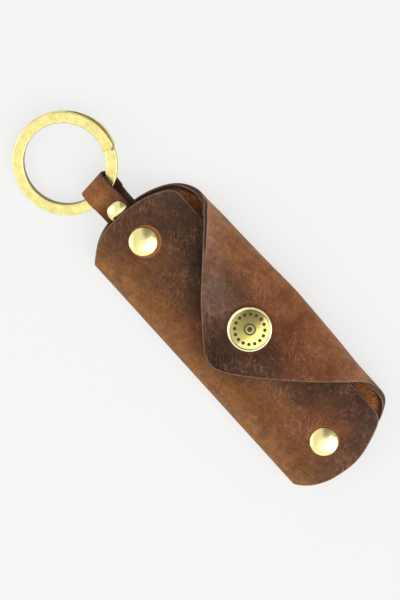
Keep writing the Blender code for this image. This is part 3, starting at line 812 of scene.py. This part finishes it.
def make_snap(plain):
    """The snap's cap, socket and spring on the flap, and its stud and base on the front panel."""
    place = at(*SNAP)
    field = brass_material("snap_cap_finish", (200, 187, 112), 0.09, (188, 173, 100), 0.12)
    # painted highlight: the rim's brass is near white, standing for the white reflection along the rim
    rim_highlight = brass_material("snap_cap_rim_pale_highlight", (252, 247, 222), 0.12, (246, 238, 200), 0.3)
    enamel = enamel_material()
    lean = place @ at(0, 0, 13.8) @ Matrix.Rotation(math.radians(-3.5), 4, "X") @ at(0, 0, -14.0)
    rim = [(6.7, 15.0), (6.78, 15.14), (6.95, 15.2), (7.15, 15.12), (7.4, 14.85), (7.6, 14.35), (7.5, 13.8),
           (7.2, 13.55), (6.7, 13.55)]
    attach(lathe("snap_cap_rim", rim, lean, rim_highlight, True), "flap", "cap_brass", "snap_cap")
    disc = dome(6.5, 14.86, 15.1) + [(6.75, 14.8), (6.75, 14.2), (1.1, 14.2), (1.1, 11.9), (0, 11.9)]
    attach(lathe("snap_cap_field", disc, lean, field), "flap", "cap_brass")
    profile = [(1.45, 15.02), (1.55, 15.13), (1.75, 15.15), (1.95, 15.13), (2.05, 15.02), (1.75, 14.95)]
    attach(lathe("snap_cap_inner_circle", profile, lean, enamel, True), "flap", "cap_brass")
    profile = [(0, 15.17), (0.55, 15.16), (0.8, 15.13), (0.86, 15.03), (0, 15.0)]
    attach(lathe("snap_cap_boss", profile, lean, enamel), "flap", "cap_brass")
    for i in range(16):
        a = math.tau * i / 16
        spot = lean @ at(4.9 * math.cos(a), 4.9 * math.sin(a), -0.06)
        profile = [(0, 15.12), (0.42, 15.11), (0.6, 15.07), (0.64, 14.96), (0, 14.9)]
        bead = lathe(f"snap_cap_bead_{i + 1}", profile, spot, enamel, steps=20, rounds=1)
        attach(bead, "flap", "cap_brass")
    socket = [(1.3, 11.9), (5.2, 11.9), (5.4, 11.75), (5.4, 11.6), (4.4, 11.45), (4.2, 10.65), (4.0, 10.45),
              (2.8, 10.45), (2.75, 10.7), (3.4, 10.75), (3.4, 11.25), (2.75, 11.3), (2.75, 11.75),
              (1.3, 11.75)]
    attach(lathe("snap_socket_skin", socket, place, plain, True), "flap", "plain_brass", "snap_socket")
    stud = [(0, 11.4), (1.3, 11.4), (1.75, 11.25), (1.9, 11.0), (1.75, 10.75), (1.65, 10.5), (1.65, 10.1),
            (4.4, 10.1), (4.6, 9.95), (4.6, 9.8), (4.4, 9.65), (1.15, 9.6), (1.15, 10.75), (0, 10.75)]
    attach(lathe("snap_stud_skin", stud, place, plain), "root", "plain_brass", "snap_stud")
    base = [(0, 10.6), (1.05, 10.6), (1.05, 7.75), (4.6, 7.75), (4.8, 7.55), (4.8, 7.3), (4.5, 7.15),
            (0, 7.12)]
    attach(lathe("snap_stud_base_skin", base, place, plain), "root", "plain_brass", "snap_stud_base")
    wire, turn, faces, steps, sides = [], [], [], 90, 10
    for i in range(steps):
        a = math.radians(15 + 330 * i / (steps - 1))
        for j in range(sides):
            b = 2 * math.pi * j / sides
            r = 2.95 + 0.2 * math.cos(b)
            wire.append(tuple(place @ Vector((r * math.cos(a), r * math.sin(a), 11.0 + 0.2 * math.sin(b)))))
            turn.append((a * r, r, b * 0.2))
    for i in range(steps - 1):
        for j in range(sides):
            k = (j + 1) % sides
            faces.append((i * sides + j, (i + 1) * sides + j, (i + 1) * sides + k, i * sides + k))
    faces.append(tuple(range(sides)))
    faces.append(tuple(range((steps - 1) * sides, steps * sides))[::-1])
    spring = make_mesh("snap_spring_skin", wire, faces, {"turn": turn}, steel_material())
    attach(spring, "flap", "spring_steel", "snap_spring")


# ---------------------------------------------------------------- key ring

def ring_section(top, bottom, band, corner):
    """The band's section as (outwards, upwards) points, with round edges and extra points on its top."""
    bevel = min(corner, 0.45 * (top - bottom))
    section = []
    for cx, cy, first in ((1, 1, 0), (-1, 1, 90), (-1, -1, 180), (1, -1, 270)):
        for step in range(5):
            a = math.radians(first + 22.5 * step)
            up = top - bevel if cy > 0 else bottom + bevel
            section.append((cx * (band / 2 - corner) + corner * math.cos(a), up + bevel * math.sin(a)))
        if (cx, cy) == (1, 1):
            section += [(out, top) for out in (1.42, 1.28, 1.14, 1.0, 0.82, 0.6, 0.0, -0.8)]
    return section


def make_ring():
    """Two turns of flat band: the upper one's thin end lies over the ramp down to the lower one."""
    band, thick, corner = RING_BAND, RING_THICK, 0.3
    middle, steps, joint, climb = RING_RADIUS - band / 2, 560, 66.0, 30.0
    start, end = joint + 0.4, joint + 720.0 + climb - 0.4
    place = rolled(*RING_CENTRE) @ Matrix.Diagonal((0.999, RING_SQUASH, 1.0, 1.0))
    verts, turn, painted_gap_shade, faces = [], [], [], []
    for i in range(steps + 1):
        angle = start + (end - start) * i / steps
        run = angle - joint
        down = float(smooth(run, 360.0, 360.0 + climb))
        level = (thick + RING_GAP) / 2 * (1 - 2 * down)
        top, bottom = level + thick / 2, level - thick / 2
        bottom += (thick - 0.12) * float(smooth(run, climb, 0.0))
        top -= (thick - 0.12) * float(smooth(run, 720.0, 720.0 + climb))
        shift = 0.62 * float(smooth(run, 360.0, 367.0) * smooth(run, 445.0, 375.0))
        cut = 1.15 * float(smooth(run, 5.0, 1.0))
        b = math.radians(angle)
        for out, up in ring_section(top, bottom, band, corner):
            # painted shade: along the band's inner edge, a dark line for the shadow in the step between the
            # turns, and the shaded end of the notch
            dark = 0.8 * float(smooth(-out, band / 2 - 0.22, band / 2 - 0.04))
            past = out + shift - band / 2
            if up > bottom + 0.5 * (top - bottom) and 360.0 < run < 445.0:
                line = float(smooth(past, -0.25, 0.0) * smooth(past, 0.3, 0.14))
                dark = max(dark, 0.9 * line * min(1.0, shift / 0.2))
                if run < 366.0:
                    dark = max(dark, 0.75 * float(smooth(out, 0.55, 0.95)))
            out = min(out, band / 2 - cut)
            r = middle + out + shift
            verts.append(tuple(place @ Vector((r * math.cos(b), r * math.sin(b), up))))
            turn.append((b * middle, out, up))
            painted_gap_shade.append(dark)
    n = len(ring_section(1.0, 0.0, band, corner))
    for i in range(steps):
        for j in range(n):
            k = (j + 1) % n
            faces.append((i * n + j, i * n + k, (i + 1) * n + k, (i + 1) * n + j))
    faces.append(tuple(range(n))[::-1])
    faces.append(tuple(range(steps * n, steps * n + n)))
    finish = brass_material("ring_finish", (244, 232, 156), 0.27, (212, 200, 128), 0.25)
    ring = make_mesh("key_ring_skin", verts, faces, {"turn": turn, "painted_gap_shade": painted_gap_shade}, finish)
    ring.data.set_sharp_from_angle(angle=math.radians(60))
    attach(ring, "ring", "ring_brass", "key_ring")


# ---------------------------------------------------------------- loop strap

def strap_path():
    """Middle line of the strap's leather in (x, height), from its upper end round the loop and back."""
    level, loop, slope, fillet = 0.735, 3.86, math.radians(36), 2.4
    throat = LOOP_X + loop * math.sin(slope) + (loop * math.cos(slope) - level) / math.tan(slope)
    fillet_x = throat + fillet * math.tan(slope / 2)
    points = [(x, level) for x in np.linspace(-40.0, fillet_x, 60)[:-1]]
    for a in np.linspace(0, slope, 9):
        points.append((fillet_x - fillet * math.sin(a), level + fillet * (1 - math.cos(a))))
    slope_end = (LOOP_X + loop * math.sin(slope), loop * math.cos(slope))
    points += [tuple(np.array(points[-1]) * (1 - t) + np.array(slope_end) * t) for t in (0.2, 0.4, 0.6, 0.8)]
    for a in np.linspace(slope, -math.pi / 2, 48):
        points.append((LOOP_X + loop * math.sin(a), loop * math.cos(a)))
    return np.array(points + [(x, -h) for x, h in points[-2::-1]])


def clear_of_ring(x, y, h, half):
    """Opens the loop where its leather would stand in the way of the swinging ring: new x and height."""
    inner, thick = RING_RADIUS - RING_BAND - 0.02, RING_THICK + RING_GAP / 2
    up_limit, down_limit, spare, soft = 121.0, 107.0, 0.2, 0.25
    across = (y - RING_CENTRE[1]) / RING_SQUASH
    reach = LOOP_X - RING_CENTRE[0] - np.sqrt(np.maximum(inner**2 - across**2, 0.0))
    around, below = np.hypot(np.maximum(reach, 0.1), thick) + half + spare, thick + half + spare
    radius = np.hypot(x - LOOP_X, h)
    angle = np.degrees(np.arctan2(h, LOOP_X - x))
    beyond = np.radians(np.maximum(np.where(angle > 0, angle - up_limit, -angle - down_limit), 0.0))
    need = below / np.sin(np.maximum(beyond, np.arcsin(below / around)))
    grown = (radius + need + np.sqrt((radius - need) ** 2 + soft**2)) / 2
    return LOOP_X + (x - LOOP_X) * grown / radius, h * grown / radius


def make_strap():
    """The folded band: two layers side by side from the barrel to the loop that holds the ring."""
    path = strap_path()
    length = np.concatenate([[0], np.cumsum(np.hypot(*np.diff(path, axis=0).T))])
    tangent = np.gradient(path, length, axis=0)
    tangent /= np.linalg.norm(tangent, axis=1)[:, None]
    normal2 = np.stack([tangent[:, 1], -tangent[:, 0]], 1)
    half_width = np.full(len(path), 4.9)
    beyond = np.maximum(path[:, 0] + POST_X, 0.0)
    half_width = np.sqrt(np.maximum(half_width**2 - beyond**2, 0.4))
    steps = np.array([0.0, 0.015, 0.06, 0.14, 0.26, 0.42, 0.65])
    inside = np.linspace(0, 1, 24)[1:-1]
    v = np.stack([np.concatenate([-w + steps, (-w + 0.65) + (2 * w - 1.3) * inside, (w - steps)[::-1]])
                  for w in half_width])
    distance = np.minimum(half_width[:, None] - np.abs(v), np.minimum(length, length[-1] - length)[:, None])
    thickness = (1.35 - 0.37 * smooth(-path[:, 0], 58.5, 62.0))[:, None]
    half = thickness / 2 * rounded(distance, 0.42, 2.3)
    half[:, 0] = half[:, -1] = half[0] = half[-1] = 0.0
    x = np.repeat(path[:, :1], v.shape[1], 1)
    h = np.repeat(path[:, 1:], v.shape[1], 1)
    nx = np.repeat(normal2[:, :1], v.shape[1], 1)
    nh = np.repeat(normal2[:, 1:], v.shape[1], 1)
    skew = 0.125 * smooth(-x, 57.5, 66.0)
    roll = STRAP_ROLL * smooth(-x, 49.6, 53.2)
    share = (length / length[-1])[:, None]
    upper_aside = 0.02 + 0.5 * smooth(h, 0.7, 3.6)
    lower_aside = (1.4 + 0.35 * smooth(-x, 63.5, 60.0)) * smooth(share, 0.5, 0.6)
    aside = (upper_aside + lower_aside) * smooth(-x, 46.0, 54.0)
    across = v + aside
    along, height = clear_of_ring(x - skew * across, across, h, half)
    middle = np.stack([along, across * np.cos(roll) - height * np.sin(roll),
                       STRAP_Z + across * np.sin(roll) + height * np.cos(roll)], -1)
    normal = np.stack([nx, -nh * np.sin(roll), nh * np.cos(roll)], -1)
    # paler towards the loop: partly the pull-up of the bend, partly a painted highlight
    zones = [(-69, (150, 100, 62)), (-65, (142, 92, 54)), (-61, (122, 78, 48)), (-56, (92, 60, 40)),
             (-50, (74, 50, 38)), (-40, COCOA)]
    colours = np.array([linear(*colour) for _, colour in zones])
    shade = np.stack([np.interp(x, [zone[0] for zone in zones], colours[:, i]) for i in range(3)], -1)
    # darker towards the strap's right-hand side in the view, and painted shade on the lower layer beneath the
    # upper
    darker = 0.82 * (1 - 0.3 * smooth(v, 0.0, 4.8)) * (1 - 0.35 * smooth(-h, -0.2, 0.8))
    shade = shade * darker[..., None]
    flat = np.stack([np.repeat(length[:, None], v.shape[1], 1), v, np.full(v.shape, 90.0)], -1)
    values = {"flat": flat, "edge": np.minimum(distance, 9.0), "stain_and_painted_light": shade}
    strap = skin("loop_strap_skin", middle, normal, half, values, leather_material("strap_finish", True))
    attach(strap, "strap", "strap_leather", "loop_strap")


# ---------------------------------------------------------------- floor, light and camera

def make_floor():
    """Bright, even paper, most of whose light is its own."""
    n = new_material("floor_paper")
    place = n.add("TexCoord", {}, output=3)
    tone = n.noise(place, 6.0, 3.0, 0.5)
    colour = n.mix(tone, (0.885, 0.885, 0.885, 1.0), (0.90, 0.90, 0.90, 1.0))
    n.set(Base_Color=n.mix(1.0, colour, (FLOOR_BASE, FLOOR_BASE, FLOOR_BASE, 1.0), "MULTIPLY"), Roughness=0.9,
          Specular_IOR_Level=0.0, Emission_Color=colour, Emission_Strength=FLOOR_GLOW)
    size = 3000.0
    verts = [(-size, -size, -0.02), (size, -size, -0.02), (size, size, -0.02), (-size, size, -0.02)]
    floor = make_mesh("floor", verts, [(0, 1, 2, 3)], {}, n.owner, False)


def soft_light(name, place, size, power):
    """A rectangular lamp that points at the object."""
    data = bpy.data.lights.new(name, "AREA")
    data.shape = "RECTANGLE"
    data.size, data.size_y = size
    data.energy = power
    lamp = bpy.data.objects.new(name, data)
    bpy.context.scene.collection.objects.link(lamp)
    lamp.location = place
    lamp.rotation_euler = (-Vector(place)).to_track_quat("-Z", "Y").to_euler()


def make_lights():
    """The room's own light, and two soft lamps."""
    world = bpy.data.worlds.new("studio")
    n = Nodes(world, "Background")
    direction = n.add("TexCoord", {})

    def towards(way):
        """How far each direction points that way."""
        return n.add("VectorMath", {0: direction, 1: way}, output=1, operation="DOT_PRODUCT")

    # an even white room with a dim corner high on the right, which shows in the polished brass
    above = n.ramp(towards(UP - RIGHT * 0.27), -0.14, -0.09)
    beside = n.ramp(towards(RIGHT + UP * 0.1), -0.08, 0.10)
    fall = n.math("MULTIPLY", n.math("MULTIPLY", above, beside), WORLD_LEVEL * 0.70)

    # and a bright window low on the right
    low_right = towards((RIGHT - UP).normalized())
    sideways = n.math("ABSOLUTE", towards((RIGHT + UP).normalized()))
    window = n.math("MULTIPLY", n.ramp(low_right, 0.15, 0.18), n.ramp(low_right, 0.62, 0.42))
    window = n.math("MULTIPLY", window, n.ramp(sideways, 0.42, 0.25))
    glow = n.math("MULTIPLY", n.ramp(low_right, -0.10, 0.16), 0.22)
    lift = n.math("ADD", n.math("MULTIPLY", window, 1.7), glow)
    level = n.math("ADD", n.math("SUBTRACT", WORLD_LEVEL, fall), lift)
    n.set(Color=(1.0, 0.99, 0.97, 1.0), Strength=level)
    bpy.context.scene.world = world

    def around(right, up, height):
        return tuple(RIGHT * right + UP * up + Vector((0, 0, height)))

    soft_light("key_right", around(0.75, -0.55, 0.8), (0.9, 0.7), 4.0)
    soft_light("fill_left", around(-0.9, -0.15, 0.7), (0.8, 0.8), 3.0)


def make_camera():
    """The photo's view."""
    distance, view_height = 1.3, 195.6 * MM
    data = bpy.data.cameras.new("camera")
    data.sensor_width = 36.0
    data.lens = 36.0 * distance / view_height
    camera = bpy.data.objects.new("camera", data)
    bpy.context.scene.collection.objects.link(camera)
    vertical = Vector((0, 0, 1))
    back = vertical * math.cos(TILT) + UP * math.sin(TILT)
    up = UP * math.cos(TILT) - vertical * math.sin(TILT)
    matrix = Matrix((RIGHT, up, back)).transposed().to_4x4()
    matrix.translation = Vector((-17.75 * MM, 1.02 * MM, 9.6 * MM)) + back * distance
    camera.matrix_world = matrix
    bpy.context.scene.camera = camera


make_leather(leather_material("case_finish"))
make_strap()
make_fittings()
make_ring()
make_floor()
make_lights()
make_camera()
bpy.context.scene.view_settings.view_transform = "Standard"
